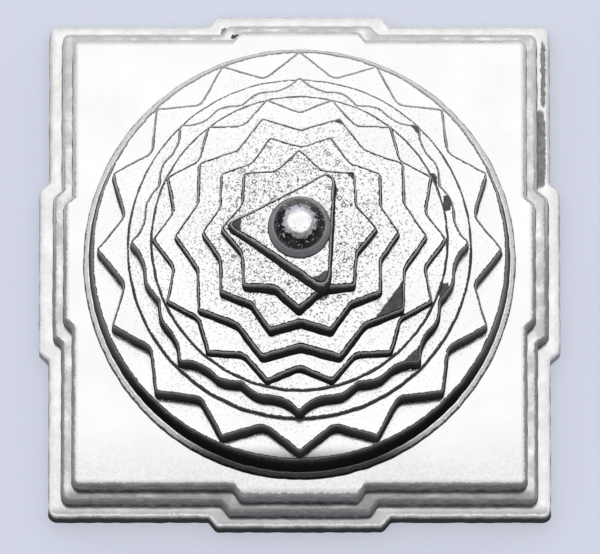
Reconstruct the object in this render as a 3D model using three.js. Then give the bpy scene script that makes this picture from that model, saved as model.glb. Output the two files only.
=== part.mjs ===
// Shri yantra of the stepped kind: polished cast plates stacked on one screw, with the bindu as its nut.
// Millimetres, +Z up. The origin is under the middle of the base. The triangle points along -X.
import * as THREE from 'three';

// Square base (bhupura): half widths of the top faces, and the gates that stand out from each side
const lowerHalfWidth = 25.15;
const lowerStep = 1.3;
const middleStep = 1.1;
const middleHalfWidth = lowerHalfWidth - lowerStep;
const upperHalfWidth = middleHalfWidth - middleStep;
const lowerGateWidth = 16.6;
const middleGateWidth = 14.1;
const upperGateWidth = 11.7;
const lowerGateReach = 1.0;
const innerGateReach = 0.88;
const gateSlope = 0.8;
const squareCornerRound = 0.5;
const gateCornerRound = 0.4;
const lowerHeight = 2.6;
const middleHeight = 2.4;
const upperHeight = 2.6;

// Round plates: radii of the top faces
const ringRadius = 21.4;
const ringHeight = 0.8;
const ringEdgeRound = 0.45;
const petalDiscRadius = 20.8;
const petalDiscHeight = 3.1;
const outerCircleRadius = 17.2;
const outerCircleHeight = 0.9;
const innerCircleRadius = 14.8;
const innerCircleHeight = 0.5;

// Sixteen petals, drawn as straight points. Their tips leave a ledge free on the disc below.
const sixteenPetalLedge = 0.55;
const sixteenPetalDepth = 2.45;
const sixteenPetalTip = petalDiscRadius - sixteenPetalLedge;
const sixteenPetalValley = sixteenPetalTip - sixteenPetalDepth;
const sixteenPetalHeight = 2.7;

// Eight petals with ogee tips. One flank is given by how far it lies inside the tip at four places.
const eightPetalLedge = 0.5;
const eightPetalNeckDepth = 0.65;
const eightPetalHollowDepth = 1.05;
const eightPetalShoulderDepth = 0.9;
const eightPetalValleyDepth = 1.55;
const eightPetalNeckShare = 0.155;
const eightPetalHollowShare = 0.4;
const eightPetalShoulderShare = 0.68;
const eightPetalTip = outerCircleRadius - eightPetalLedge;
const eightPetalHeight = 2.7;

// Rings of triangles: radii of the tips and of the valleys between them
const fourteenLedge = 0.25;
const fourteenDepth = 1.75;
const fourteenTip = innerCircleRadius - fourteenLedge;
const fourteenValley = fourteenTip - fourteenDepth;
const fourteenHeight = 1.4;
const outerTenTip = 12.5;
const outerTenValley = 10.75;
const outerTenHeight = 1.6;
const innerTenTip = 10.05;
const innerTenValley = 8.6;
const innerTenHeight = 1.9;
const eightPointTip = 7.9;
const eightPointValley = 6.25;
const eightPointHeight = 1.95;
const triangleTip = 7.0;
const triangleTipRound = 0.35;
const triangleHeight = 1.6;

// Cast edges: sideways run of the walls, and the rounding of edges, tips and valleys
const baseRun = 0.22;
const petalDiscRun = 0.35;
const circleRun = 0.1;
const plateRun = 0.3;
const edgeRound = 0.15;
const tipRound = 0.15;
const valleyRound = 0.7;

// Bindu: a sloping collar with a dome on it
const collarFootRadius = 3.18;
const collarTopRadius = 2.63;
const collarHeight = 1.5;
const domeRadius = 2.63;
const domeLip = 0.3;
const domeHeight = 2.3;

// Countersunk screw from below, and the dowel pin that keeps the plates in line
const fitClearance = 0.3;
const screwRadius = 1.4;
const screwHeadRadius = 2.8;
const screwEngagement = 1.2;
const screwKeyRadius = 1.0;
const screwKeyDepth = 0.9;
const dowelRadius = 0.6;
const dowelWall = 0.3;
const dowelSeat = 1.0;
const dowelTopGap = 0.5;

// Facets
const circleSides = 72;
const turnedSides = 36;
const boreSides = 16;
const dowelSides = 10;
const ringEdgeSteps = 3;
const squareCornerSteps = 3;
const gateCornerSteps = 1;
const tipSteps = 1;
const valleySteps = 3;
const triangleTipSteps = 4;
const flankSteps = 8;
const domeSteps = 8;

const silver = new THREE.MeshStandardMaterial({ color: 0xd6d7da, metalness: 1, roughness: 0.3 });
const darkSilver = new THREE.MeshStandardMaterial({ color: 0x8c8e93, metalness: 1, roughness: 0.12 });
const steel = new THREE.MeshStandardMaterial({ color: 0xa4a5a8, metalness: 1, roughness: 0.4 });

function polar(radius, angle) {
  return new THREE.Vector2(radius * Math.cos(angle), radius * Math.sin(angle));
}

function circleOutline(radius, sides = circleSides, centre = new THREE.Vector2()) {
  return Array.from({ length: sides }, (_, side) => polar(radius, (2 * Math.PI * side) / sides).add(centre));
}

// The corner between two straight edges, as an arc that touches both
function roundedCorner(before, corner, after, radius, steps) {
  const arriving = corner.clone().sub(before).normalize();
  const leaving = after.clone().sub(corner).normalize();
  const turn = Math.atan2(arriving.cross(leaving), arriving.dot(leaving));
  const start = corner.clone().addScaledVector(arriving, -radius * Math.tan(Math.abs(turn) / 2));
  const side = new THREE.Vector2(-arriving.y, arriving.x).multiplyScalar(radius * Math.sign(turn));
  const centre = start.clone().add(side);
  const onArc = (step) => start.clone().rotateAround(centre, (turn * step) / steps);
  return Array.from({ length: steps + 1 }, (_, step) => onArc(step));
}

function roundedOutline(corners) {
  return corners.flatMap(({ point, radius, steps }, index) => {
    const before = corners[(index + corners.length - 1) % corners.length].point;
    const after = corners[(index + 1) % corners.length].point;
    return roundedCorner(before, point, after, radius, steps);
  });
}

// A square with a gate in the middle of each side
function gatedSquare(halfWidth, gateWidth, gateReach) {
  const middle = new THREE.Vector2();
  const gateFace = gateWidth / 2;
  const gateFoot = gateFace + gateSlope;
  const corners = [];
  for (let quarter = 0; quarter < 4; quarter++) {
    const onSide = (x, y) => new THREE.Vector2(x, y).rotateAround(middle, (quarter * Math.PI) / 2);
    const square = onSide(halfWidth, -halfWidth);
    corners.push({ point: square, radius: squareCornerRound, steps: squareCornerSteps });
    const gate = [
      onSide(halfWidth, -gateFoot),
      onSide(halfWidth + gateReach, -gateFace),
      onSide(halfWidth + gateReach, gateFace),
      onSide(halfWidth, gateFoot),
    ];
    corners.push(...gate.map((point) => ({ point, radius: gateCornerRound, steps: gateCornerSteps })));
  }
  return roundedOutline(corners);
}

// A star with its first tip on +X and soft valleys
function starOutline(count, tip, valley) {
  const corners = [];
  for (let index = 0; index < count; index++) {
    const angle = (2 * Math.PI * index) / count;
    corners.push({ point: polar(tip, angle), radius: tipRound, steps: tipSteps });
    const between = polar(valley, angle + Math.PI / count);
    corners.push({ point: between, radius: valleyRound, steps: valleySteps });
  }
  return roundedOutline(corners);
}

// Lotus petals whose flanks sweep in to a hollow and out to a shoulder
function ogeeOutline(count) {
  const half = Math.PI / count;
  const flank = new THREE.SplineCurve([
    new THREE.Vector2(0, eightPetalTip),
    new THREE.Vector2(eightPetalNeckShare * half, eightPetalTip - eightPetalNeckDepth),
    new THREE.Vector2(eightPetalHollowShare * half, eightPetalTip - eightPetalHollowDepth),
    new THREE.Vector2(eightPetalShoulderShare * half, eightPetalTip - eightPetalShoulderDepth),
    new THREE.Vector2(half, eightPetalTip - eightPetalValleyDepth),
  ]);
  const points = [];
  for (let petal = 0; petal < count; petal++) {
    for (let step = -flankSteps; step < flankSteps; step++) {
      const { x: angle, y: radius } = flank.getPoint(Math.abs(step) / flankSteps);
      points.push(polar(radius, 2 * half * petal + Math.sign(step) * angle));
    }
  }
  return points;
}

// A triangle that points along -X
function triangleOutline() {
  const tips = circleOutline(triangleTip, 3).map((tip) => tip.negate());
  return roundedOutline(tips.map((point) => ({ point, radius: triangleTipRound, steps: triangleTipSteps })));
}

// The outline moved outwards by the same distance all the way round
function outset(points, distance) {
  return points.map((point, index) => {
    const before = points[(index + points.length - 1) % points.length];
    const after = points[(index + 1) % points.length];
    const arriving = point.clone().sub(before).normalize();
    const leaving = after.clone().sub(point).normalize();
    const normals = new THREE.Vector2(arriving.y + leaving.y, -arriving.x - leaving.x);
    return point.clone().addScaledVector(normals, distance / (1 + arriving.dot(leaving)));
  });
}

// The wall of a cast plate, from its rounded upper edge down to its foot, as outsets and heights
function castWall(height, run, edge = edgeRound, steps = 1) {
  const rings = [];
  for (let step = 0; step <= steps; step++) {
    const turn = ((step / steps) * Math.PI) / 2;
    rings.push({ out: edge * Math.sin(turn), z: height - edge * (1 - Math.cos(turn)) });
  }
  rings.push({ out: edge + run, z: 0 });
  return rings;
}

// A round bore is a list of heights and radii, from its lower end up
function straightBore(centre, radius, sides, from, to) {
  return { centre, sides, stations: [{ z: from, radius }, { z: to, radius }] };
}

// One closed solid between the first ring and the last, with its bores. A bore that stops short is closed.
function closedSolid(outline, rings, bores = []) {
  const positions = [];
  const face = (a, b, c) => positions.push(...a, ...b, ...c);
  const lift = ({ points, z }) => points.map((point) => new THREE.Vector3(point.x, point.y, z));
  const wall = (upperLoop, lowerLoop) => {
    const upper = lift(upperLoop);
    const lower = lift(lowerLoop);
    upper.forEach((corner, index) => {
      const next = (index + 1) % upper.length;
      face(lower[index], lower[next], upper[next]);
      face(lower[index], upper[next], corner);
    });
  };
  const lid = ({ points, z }, holes, upward) => {
    const corners = [points, ...holes].flat();
    for (const triangle of THREE.ShapeUtils.triangulateShape(points, holes)) {
      const flat = triangle.map((index) => corners[index]);
      const facesUp = THREE.ShapeUtils.area(flat) > 0;
      face(...lift({ points: facesUp === upward ? flat : flat.reverse(), z }));
    }
  };
  const loops = rings.map(({ out, z }) => ({ points: outset(outline, out), z }));
  const tubes = bores.map(({ centre, sides, stations }) =>
    stations.map(({ z, radius }) => ({ points: circleOutline(radius, sides, centre), z })),
  );
  const top = loops[0];
  const foot = loops[loops.length - 1];
  const openAt = (z) => tubes.flat().filter((round) => round.z === z).map((round) => round.points);
  lid(top, openAt(top.z), true);
  lid(foot, openAt(foot.z), false);
  for (let index = 1; index < loops.length; index++) {
    wall(loops[index - 1], loops[index]);
  }
  for (const tube of tubes) {
    for (let index = 1; index < tube.length; index++) {
      wall(tube[index - 1], tube[index]);
    }
    const lowest = tube[0];
    const highest = tube[tube.length - 1];
    if (lowest.z > foot.z) lid(lowest, [], true);
    if (highest.z < top.z) lid(highest, [], false);
  }
  const geometry = new THREE.BufferGeometry();
  geometry.setAttribute('position', new THREE.Float32BufferAttribute(positions, 3));
  geometry.computeVertexNormals();
  return geometry;
}

// A turned piece from its profile of radii and heights
function turned(profile) {
  const points = profile.map(([radius, z]) => new THREE.Vector2(radius, z));
  return new THREE.LatheGeometry(points, turnedSides).rotateX(Math.PI / 2);
}

function addPiece(group, name, geometry, material, level) {
  const mesh = new THREE.Mesh(geometry, material);
  mesh.name = name;
  mesh.position.z = level;
  group.add(mesh);
}

// The screw runs up the middle. The dowel stands beside it, as far out as the tip of the triangle allows.
const axis = new THREE.Vector2();
const screwBore = screwRadius + fitClearance;
const screwHeadHeight = screwHeadRadius - screwRadius;
const dowelBore = dowelRadius + fitClearance;
const triangleHalfAngle = Math.PI / 6;
const dowelDistance = triangleTip - (dowelBore + dowelWall) / Math.sin(triangleHalfAngle);
const dowelCentre = polar(dowelDistance, Math.PI);
const dowelEntry = triangleHeight - dowelTopGap;

function screwHole(height) {
  return straightBore(axis, screwBore, boreSides, 0, height);
}

function dowelHole(from, to) {
  return straightBore(dowelCentre, dowelBore, dowelSides, from, to);
}

const countersink = {
  centre: axis,
  sides: boreSides,
  stations: [
    { z: 0, radius: screwHeadRadius + fitClearance },
    { z: screwHeadHeight, radius: screwBore },
    { z: lowerHeight, radius: screwBore },
  ],
};
const lowerBores = [countersink, dowelHole(lowerHeight - dowelSeat, lowerHeight)];
const triangleBores = [screwHole(triangleHeight), dowelHole(0, dowelEntry)];

function throughBores(height) {
  return [screwHole(height), dowelHole(0, height)];
}

function plate(name, outline, height, run, bores = throughBores(height), wall = castWall(height, run)) {
  return { name, height, geometry: closedSolid(outline, wall, bores) };
}

const lowerSquare = gatedSquare(lowerHalfWidth, lowerGateWidth, lowerGateReach);
const middleSquare = gatedSquare(middleHalfWidth, middleGateWidth, innerGateReach);
const upperSquare = gatedSquare(upperHalfWidth, upperGateWidth, innerGateReach);
const ringWall = castWall(ringHeight, 0, ringEdgeRound, ringEdgeSteps);
const sixteenPetals = starOutline(16, sixteenPetalTip, sixteenPetalValley);
const plates = [
  plate('bhupura_lower_plate', lowerSquare, lowerHeight, baseRun, lowerBores),
  plate('bhupura_middle_plate', middleSquare, middleHeight, baseRun),
  plate('bhupura_upper_plate', upperSquare, upperHeight, baseRun),
  plate('ring_plate', circleOutline(ringRadius), ringHeight, 0, throughBores(ringHeight), ringWall),
  plate('sixteen_petal_disc', circleOutline(petalDiscRadius), petalDiscHeight, petalDiscRun),
  plate('sixteen_petal_plate', sixteenPetals, sixteenPetalHeight, plateRun),
  plate('outer_circle_disc', circleOutline(outerCircleRadius), outerCircleHeight, circleRun),
  plate('eight_petal_plate', ogeeOutline(8), eightPetalHeight, plateRun),
  plate('inner_circle_disc', circleOutline(innerCircleRadius), innerCircleHeight, circleRun),
  plate('fourteen_point_plate', starOutline(14, fourteenTip, fourteenValley), fourteenHeight, plateRun),
  plate('outer_ten_point_plate', starOutline(10, outerTenTip, outerTenValley), outerTenHeight, plateRun),
  plate('inner_ten_point_plate', starOutline(10, innerTenTip, innerTenValley), innerTenHeight, plateRun),
  plate('eight_point_plate', starOutline(8, eightPointTip, eightPointValley), eightPointHeight, plateRun),
  plate('triangle_plate', triangleOutline(), triangleHeight, plateRun, triangleBores),
];

const yantra = new THREE.Group();
let level = 0;
for (const { name, geometry, height } of plates) {
  addPiece(yantra, name, geometry, silver, level);
  level += height;
}
const triangleTop = level;

const collarProfile = [
  [screwBore, 0],
  [collarFootRadius, 0],
  [collarTopRadius, collarHeight],
  [screwBore, collarHeight],
  [screwBore, 0],
];
addPiece(yantra, 'bindu_collar', turned(collarProfile), silver, triangleTop);

const domeArc = Array.from({ length: domeSteps }, (_, step) => {
  const angle = ((step / domeSteps) * Math.PI) / 2;
  return [domeRadius * Math.cos(angle), domeLip + (domeHeight - domeLip) * Math.sin(angle)];
});
const binduProfile = [
  [0, screwEngagement],
  [screwBore, screwEngagement],
  [screwBore, 0],
  [domeRadius, 0],
  ...domeArc,
  [0, domeHeight],
];
addPiece(yantra, 'bindu', turned(binduProfile), darkSilver, triangleTop + collarHeight);

const screwLength = triangleTop + collarHeight + screwEngagement - fitClearance;
const screwRings = [
  { out: 0, z: screwLength },
  { out: 0, z: screwHeadHeight },
  { out: screwHeadRadius - screwRadius, z: 0 },
];
const keySocket = straightBore(axis, screwKeyRadius, 6, 0, screwKeyDepth);
const screw = closedSolid(circleOutline(screwRadius, boreSides), screwRings, [keySocket]);
addPiece(yantra, 'tie_screw', screw, steel, 0);

const dowelFoot = lowerHeight - dowelSeat;
const dowelHead = triangleTop - triangleHeight + dowelEntry - fitClearance;
const dowelRings = [
  { out: 0, z: dowelHead - dowelFoot },
  { out: 0, z: 0 },
];
const dowel = closedSolid(circleOutline(dowelRadius, dowelSides, dowelCentre), dowelRings);
addPiece(yantra, 'dowel_pin', dowel, steel, dowelFoot);

export default yantra;
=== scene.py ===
# %% [markdown]
# A stepped shri yantra in cast and polished silver-coloured metal. Every tier is a plate of its own,
# stacked on one screw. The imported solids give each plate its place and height, and this lesson dresses
# them: each plate is modelled again with its soft cast edges, and gets a finish with the pits and dark
# walls of the real casting.

# %% The frame and the units
import math

import bpy
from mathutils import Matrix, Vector, noise


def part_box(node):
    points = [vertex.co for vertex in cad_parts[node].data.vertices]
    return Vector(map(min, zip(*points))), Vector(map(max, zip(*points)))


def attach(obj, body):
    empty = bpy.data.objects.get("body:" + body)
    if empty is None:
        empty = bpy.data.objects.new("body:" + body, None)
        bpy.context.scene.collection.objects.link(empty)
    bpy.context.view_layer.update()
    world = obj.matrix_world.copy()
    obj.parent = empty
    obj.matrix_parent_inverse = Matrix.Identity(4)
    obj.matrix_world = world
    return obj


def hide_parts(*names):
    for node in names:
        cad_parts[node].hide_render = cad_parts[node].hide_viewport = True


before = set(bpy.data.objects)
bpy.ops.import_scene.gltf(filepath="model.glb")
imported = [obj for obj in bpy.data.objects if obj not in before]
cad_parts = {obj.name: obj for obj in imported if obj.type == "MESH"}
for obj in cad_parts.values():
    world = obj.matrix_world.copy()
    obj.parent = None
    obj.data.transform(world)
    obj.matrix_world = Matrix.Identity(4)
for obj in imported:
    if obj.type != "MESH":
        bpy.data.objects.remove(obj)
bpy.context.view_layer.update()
MM = 0.001
TINY = 0.001 * MM

# %% [markdown]
# The photograph looks almost straight down, from the side that faces -Y, through a long lens: the square
# base shows hardly any convergence. So the camera stands well back, tilted by a few degrees from the
# vertical, and its frame is as wide as a plane through the lower tiers is in the photograph.

# %% Camera
TILT = math.radians(11)
CAMERA_DISTANCE = 1.5
FRAME_WIDTH = 60.6 * MM
AIM = Vector((0.05, -1.64, 8.0)) * MM
SENSOR_WIDTH = 36

camera_data = bpy.data.cameras.new("camera")
camera_data.sensor_width = SENSOR_WIDTH
camera_data.lens = SENSOR_WIDTH * CAMERA_DISTANCE / FRAME_WIDTH
camera_data.clip_start = 0.1
camera_data.clip_end = 10
camera = bpy.data.objects.new("camera", camera_data)
camera.location = AIM + CAMERA_DISTANCE * Vector((0, -math.sin(TILT), math.cos(TILT)))
camera.rotation_euler = (TILT, 0, 0)
bpy.context.scene.collection.objects.link(camera)
bpy.context.scene.camera = camera
bpy.context.scene.view_settings.view_transform = "Standard"
print("lens", round(camera_data.lens), "mm")

# %% [markdown]
# Shader maths reads best as sums, so one small class wraps the output of a node, and each operator on it
# adds a Math node. The sheet is the node tree of one finish, and its place is the point that is shaded.
# One method of it adds any other node, and a few more add what this object needs often: a blend of two
# colours, a noise of a given size, and how far the place lies from the middle of the yantra.


# %% Shader maths
class Signal:
    """One output of a node. Arithmetic on it adds Math nodes to its sheet."""

    def __init__(self, sheet, socket):
        self.sheet = sheet
        self.socket = socket

    def math(self, operation, *values):
        return self.sheet.node("ShaderNodeMath", {"operation": operation}, dict(enumerate(values)))

    def __add__(self, other):
        return self.math("ADD", self, other)

    def __sub__(self, other):
        return self.math("SUBTRACT", self, other)

    def __rsub__(self, other):
        return self.math("SUBTRACT", other, self)

    def __mul__(self, other):
        return self.math("MULTIPLY", self, other)

    def __abs__(self):
        return self.math("ABSOLUTE", self)

    def above(self, other):
        """The larger of the two."""
        return self.math("MAXIMUM", self, other)

    def rise(self, low, high):
        """0 below low, 1 above high, and smooth between them. It falls where low is the larger."""
        ends = {"Value": self, "From Min": low, "From Max": high}
        return self.sheet.node("ShaderNodeMapRange", {"interpolation_type": "SMOOTHSTEP"}, ends)


class Sheet:
    """The node tree of one finish."""

    def __init__(self, owner, coordinates="Object"):
        owner.use_nodes = True
        self.tree = owner.node_tree
        self.tree.nodes.clear()
        self.place = self.node("ShaderNodeTexCoord", output=coordinates)

    def node(self, kind, settings=None, values=None, output=0):
        made = self.tree.nodes.new(kind)
        for name, value in (settings or {}).items():
            if name == "stops":
                self.set_stops(made.color_ramp, value)
            else:
                setattr(made, name, value)
        for name, value in (values or {}).items():
            if isinstance(value, Signal):
                self.tree.links.new(value.socket, made.inputs[name])
            else:
                made.inputs[name].default_value = value
        return Signal(self, made.outputs[output]) if made.outputs else made

    def set_stops(self, ramp, stops):
        while len(ramp.elements) > 1:
            ramp.elements.remove(ramp.elements[-1])
        for index, (position, *tone) in enumerate(stops):
            stop = ramp.elements[0] if index == 0 else ramp.elements.new(position)
            stop.position = position
            stop.color = grey(*tone)

    def ramp(self, stops, value):
        """The greys of the stops, laid along a value from 0 to 1."""
        return self.node("ShaderNodeValToRGB", {"stops": stops}, {"Fac": value})

    def blend(self, share, first, second):
        """The first colour where share is 0, the second where it is 1."""
        ends = {0: share, 6: first, 7: second}
        return self.node("ShaderNodeMix", {"data_type": "RGBA"}, ends, output=2)

    def noise(self, size, detail=2.0):
        """Noise whose features measure about that many metres."""
        settings = {"Vector": self.place, "Scale": 1 / size, "Detail": detail, "Roughness": 0.55}
        return self.node("ShaderNodeTexNoise", None, settings)

    def lean(self, direction):
        """How far the place lies in that direction, or how much a ray leans towards it."""
        ends = {0: self.place, 1: direction}
        return self.node("ShaderNodeVectorMath", {"operation": "DOT_PRODUCT"}, ends, output="Value")

    def along(self, degrees):
        """How far the place lies from the axis of the yantra, in a level direction counted from +X."""
        angle = math.radians(degrees)
        return self.lean((math.cos(angle), math.sin(angle), 0))

    def height(self):
        return self.node("ShaderNodeSeparateXYZ", None, {"Vector": self.place}, output="Z")

    def depth(self):
        """The number called depth that the plates carry on their vertices."""
        return self.node("ShaderNodeAttribute", {"attribute_name": "depth"}, output="Fac")

    def show(self, surface):
        """Ends the sheet of a material in one Principled shader."""
        shader = self.node("ShaderNodeBsdfPrincipled", None, surface)
        self.node("ShaderNodeOutputMaterial", None, {"Surface": shader})


def grey(level, warmth=0.0):
    """A grey of that level, a little warmer or, below zero, a little bluer."""
    return (level * (1 + warmth), level, level * (1 - warmth), 1)


# %% [markdown]
# The walls of the casting are dark, partly from oxide, as the file and the buff reach only the flat faces,
# and partly from painted shade, which stands in for the dark surroundings that the walls mirror. Seen
# from above, each tier shows a thin dark line of painted shade round its bright face, then a grey rounded
# edge with a painted sheen, then a near-black wall whose painted shade deepens to its foot. A number
# called depth on every vertex carries this: 0 on the flat face, a little on the line, half way at the top
# of the wall and 1 at its foot. A colour ramp turns it into the wall's colours. The outer tiers have
# lighter walls than the inner ones, so they have a ramp of their own, and so do the thin discs, the base
# and the ring. Each stop of a ramp is a depth, a level of grey and, where the grey isn't neutral, its
# warmth.

# %% Depth of the wall, kept on the vertices
FACE_DEPTH = 0.0
LINE_DEPTH = 0.15
WALL_DEPTH = 0.5
FOOT_DEPTH = 1.0
# the ramps paint a sheen on the rounded edge and shade that deepens down the wall to its foot
DARK_WALL = [
    (0.07, 0.012),
    (0.25, 0.012),
    (0.33, 0.44),
    (0.54, 0.34),
    (0.63, 0.05),
    (0.92, 0.03),
    (1.00, 0.006),
]
SOFT_WALL = [
    (0.08, 0.05, -0.05),
    (0.19, 0.06, -0.05),
    (0.30, 0.28, -0.03),
    (0.56, 0.22),
    (0.74, 0.10),
    (0.90, 0.07),
    (1.00, 0.02),
]
THIN_WALL = [
    (0.08, 0.07, -0.06),
    (0.40, 0.09, -0.06),
    (1.00, 0.05, -0.06),
]
STEP_WALL = [
    (0.15, 0.30),
    (0.30, 0.24),
    (0.75, 0.24),
    (0.92, 0.12),
    (1.00, 0.08),
]
# the wall of the lowest step is painted pale, a painted reflection of the pale floor, darker towards its
# foot
LOWER_STEP_WALL = [
    (0.15, 0.80),
    (0.50, 0.80),
    (0.62, 0.40),
    (1.00, 0.32),
]
RING_WALL = [
    (0.10, 0.80),
    (0.38, 0.78),
    (0.44, 0.20, -0.06),
    (0.50, 0.06, -0.06),
    (1.00, 0.03),
]

# %% [markdown]
# The flat faces are polished like a worn mirror: they show the light above. They are dotted with casting
# pits. Up close these are short dark squiggles, specks, and thin rings where a gas bubble reached the
# surface. The squiggles lie where a noise passes its middle value, which gives long curls, and a second
# noise breaks the curls into strokes. The rings lie around the points of a Voronoi pattern, in some of
# its cells.

# %% Pits
CURL_SIZE = 0.32 * MM
STROKE_SIZE = 0.24 * MM
STROKE_WIDTH = (0.065, 0.015)
STROKE_LIMIT = 0.65
STROKE_GAIN = 0.14
STROKE_BLUR = 0.04
CROWDED_SIDE = 150
CROWD_REACH = 9 * MM
CROWD_SHARE = 0.05
BUBBLE_CELL = 0.8 * MM
BUBBLE_RADIUS = 0.25
BUBBLE_LINE = (0.08, 0.03)
BUBBLE_LIMIT = 0.88
BUBBLE_GAIN = 0.12
BUBBLE_BLUR = 0.02
PITS_FADE_BELOW = 0.2


def strokes(sheet, pits):
    """1 on short squiggles, 0 elsewhere. Pits of 1 crowd them, most on the left, and 0 leaves few."""
    curls = sheet.noise(CURL_SIZE, 1.0)
    side = sheet.along(CROWDED_SIDE).rise(-CROWD_REACH, CROWD_REACH)
    crowd = side * CROWD_SHARE + sheet.noise(STROKE_SIZE, 0.0)
    limit = STROKE_LIMIT - STROKE_GAIN * pits
    return abs(curls - 0.5).rise(*STROKE_WIDTH) * crowd.rise(limit - STROKE_BLUR, limit + STROKE_BLUR)


def bubbles(sheet, pits):
    """1 on thin rings and 0 elsewhere."""
    cell = {"Vector": sheet.place, "Scale": 1 / BUBBLE_CELL}
    reach = sheet.node("ShaderNodeTexVoronoi", None, cell, output="Distance")
    chance = sheet.node("ShaderNodeTexVoronoi", None, cell, output="Color")
    limit = BUBBLE_LIMIT - BUBBLE_GAIN * pits
    return abs(reach - BUBBLE_RADIUS).rise(*BUBBLE_LINE) * chance.rise(limit, limit + BUBBLE_BLUR)


def pit_marks(sheet, pits):
    """Strokes and rings together. They fade out on plates that have hardly any."""
    both = strokes(sheet, pits).above(bubbles(sheet, pits))
    return both * min(pits / PITS_FADE_BELOW, 1)


# %% [markdown]
# Some tips were never filled by the metal and stay dark: they are cut off by a line across the tip. A few
# long or round dark spots get the same dark grey. All their edges wander a little, as the metal froze at
# random.

# %% Unfilled places
WANDER_SIZE = 0.5 * MM
WANDER = 0.5 * MM
BLUR = 0.1 * MM
FLAW_SPREAD = (0.2, 1.8)
SPOT_RIM = (1.3, 0.8)


def unfilled_tip(sheet, wander, degrees, distance):
    """1 beyond a wandering line across the tip that lies in that direction."""
    return (sheet.along(degrees) + wander).rise(distance, distance + BLUR)


def dark_spot(sheet, wander, middle, reach):
    """1 in a rounded rectangle around its middle, whose reach is half its width and half its depth."""
    across = (sheet.along(0) + wander - middle[0]) * (1 / reach[0])
    up = (sheet.along(90) + wander - middle[1]) * (1 / reach[1])
    return (across * across * across * across + up * up * up * up).rise(*SPOT_RIM)


def unfilled_places(sheet, tips, spots):
    """1 in all tips, given as direction and distance, and in all spots, given as middle and reach."""
    wander = (sheet.noise(WANDER_SIZE) - 0.5) * WANDER
    masks = [unfilled_tip(sheet, wander, *tip) for tip in tips]
    masks += [dark_spot(sheet, wander, *spot) for spot in spots]
    joined = masks[0]
    for mask in masks[1:]:
        joined = joined.above(mask)
    return joined


# %% [markdown]
# The flat face starts as a bright grey with faint clouds. The faces of the base are stained, and a painted
# shade darkens them softly towards their edges. Along the front of the top of the base lies a painted shade
# broken into fine grey grain. Towards the front the ring, the disc on it and the lower ledges get a painted
# shade that grows towards -Y.

# %% Colour of the flat faces
FACE_LEVEL = 0.86
CLOUDED_LEVEL = 0.95 * FACE_LEVEL
CLOUD_SIZE = 7 * MM
CLOUD_RANGE = (0.3, 0.7)
STAIN_SIZE = 1.8 * MM
STAIN_RANGE = (0.25, 0.65)
SHADE_GRAIN = 0.3 * MM
SHADE_GRAIN_RANGE = (0.25, 0.75)
LEAST_GRAINY_SHADE = 0.125
MORE_GRAINY_SHADE = 0.25
GRAINY_SHADE_GREY = grey(0.4)
EDGE_SHADE_GREY = grey(0.3)
SHADE_GREY = grey(0.04)
SPECK_SIZE = 0.16 * MM
SPECK_RANGE = (0.54, 0.72)
SPECK_SHARE = 0.6
SPECK_GREY = grey(0.3, 0.03)
MARK_LEAST = 0.3
MARK_MORE = 0.6
MARK_GREY = grey(0.06)
GATE_SLOPE = 0.8 * MM


def front_shade(sheet, start, end, share):
    """The share of painted shade: rises from 0 to share between two distances from the axis towards -Y."""
    return sheet.along(-90).rise(start, end) * share


def grainy_front_shade(sheet, start, end):
    """Painted shade that rises between two distances from the axis towards -Y, broken up into grain."""
    grain = sheet.noise(SHADE_GRAIN, 4.0).rise(*SHADE_GRAIN_RANGE)
    return sheet.along(-90).rise(start, end) * (grain * MORE_GRAINY_SHADE + LEAST_GRAINY_SHADE)


def outside_square(sheet, half, gate, reach):
    """How far the place lies outside the square with gates. It is below zero on the face."""
    across = abs(sheet.along(0))
    up = abs(sheet.along(90))
    beside = across - up.rise(gate + GATE_SLOPE, gate) * reach
    ahead = up - across.rise(gate + GATE_SLOPE, gate) * reach
    return beside.above(ahead) - half


def polished_face(sheet, pits, marks, stained, haze_band, edge_shade, front_face):
    """The colour of the flat face. Each of the last four is None where the plate has none of it."""
    clouds = sheet.noise(CLOUD_SIZE).rise(*CLOUD_RANGE)
    face = sheet.blend(clouds, grey(CLOUDED_LEVEL), grey(FACE_LEVEL))
    if stained:
        share, *tone = stained
        stain = sheet.noise(STAIN_SIZE, 3.0).rise(*STAIN_RANGE) * share
        face = sheet.blend(stain, face, grey(*tone))
    # a painted shade along the front, broken into grain
    if haze_band:
        face = sheet.blend(grainy_front_shade(sheet, *haze_band), face, GRAINY_SHADE_GREY)
    # painted shade that darkens the face towards its edges
    if edge_shade:
        outline, width, share = edge_shade
        near_edge = outside_square(sheet, *outline).rise(-width, 0.0) * share
        face = sheet.blend(near_edge, face, EDGE_SHADE_GREY)
    # painted shade that grows towards the front
    if front_face:
        face = sheet.blend(front_shade(sheet, *front_face), face, SHADE_GREY)
    specks = sheet.noise(SPECK_SIZE, 1.0).rise(*SPECK_RANGE)
    face = sheet.blend(specks * (SPECK_SHARE * pits), face, SPECK_GREY)
    return sheet.blend(marks * (MARK_LEAST + MARK_MORE * pits), face, MARK_GREY)


# %% [markdown]
# The wall takes its colours from the ramp. The upper edges get a painted sheen that grows towards the
# back, in patches, and the walls of the base are scuffed. In front the walls of most tiers get a painted
# shade that grows towards -Y.

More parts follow.
